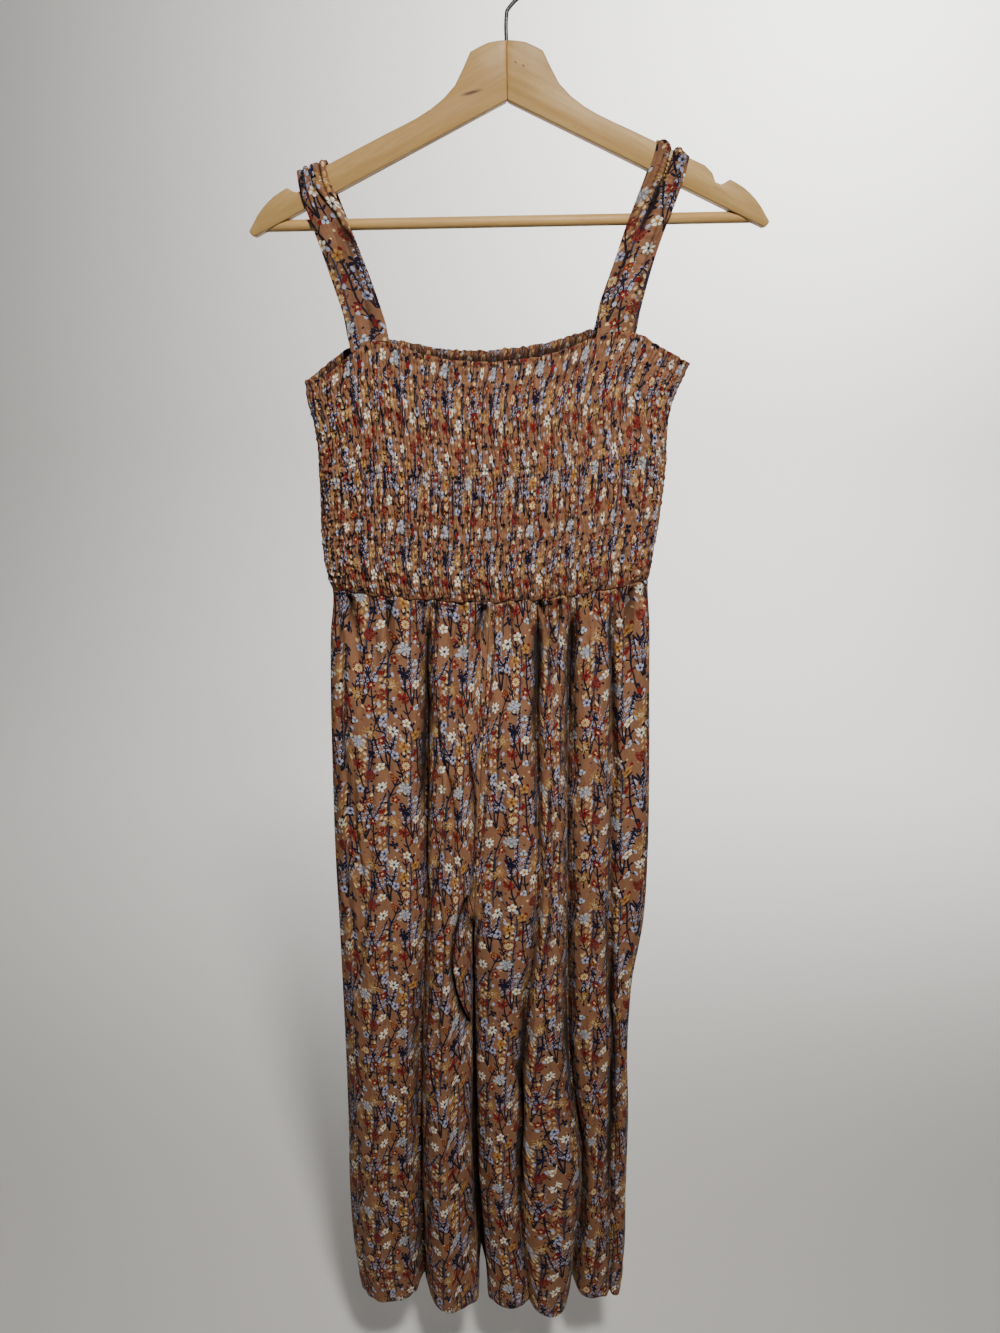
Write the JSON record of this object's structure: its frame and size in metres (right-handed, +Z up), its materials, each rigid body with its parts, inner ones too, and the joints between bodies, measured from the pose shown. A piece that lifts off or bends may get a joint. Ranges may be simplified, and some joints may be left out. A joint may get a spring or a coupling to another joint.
{
  "type": "smocked strap jumpsuit on a wooden hanger",
  "caption": "Sleeveless jumpsuit with wide straps, a smocked bodice, a gathered waist and wide cropped legs, hung flat on a wooden hanger with a trouser bar and a wire hook.",
  "frame": {"origin": "where a rail carries the hook, on the inside of the top of its round", "axes": "+X to the right as one faces the front, -Y towards the viewer, +Z up"},
  "size_m": [0.4435, 0.0796, 1.4032],
  "materials": {
    "printed_cloth": "soft matt viscose with a small all-over flower print",
    "hanger_wood": "smooth pale wood with a thin satin lacquer",
    "hook_wire": "bright plated wire"
  },
  "bodies": {
    "root": {"bodice_front": "printed_cloth", "bodice_back": "printed_cloth", "strap_left": "printed_cloth", "strap_right": "printed_cloth", "leg_front_left": "printed_cloth", "leg_front_right": "printed_cloth", "leg_back_left": "printed_cloth", "leg_back_right": "printed_cloth", "hanger_arm_left": "hanger_wood", "hanger_arm_right": "hanger_wood", "hanger_bar": "hanger_wood", "hanger_hook": "hook_wire"}
  },
  "joints": []
}
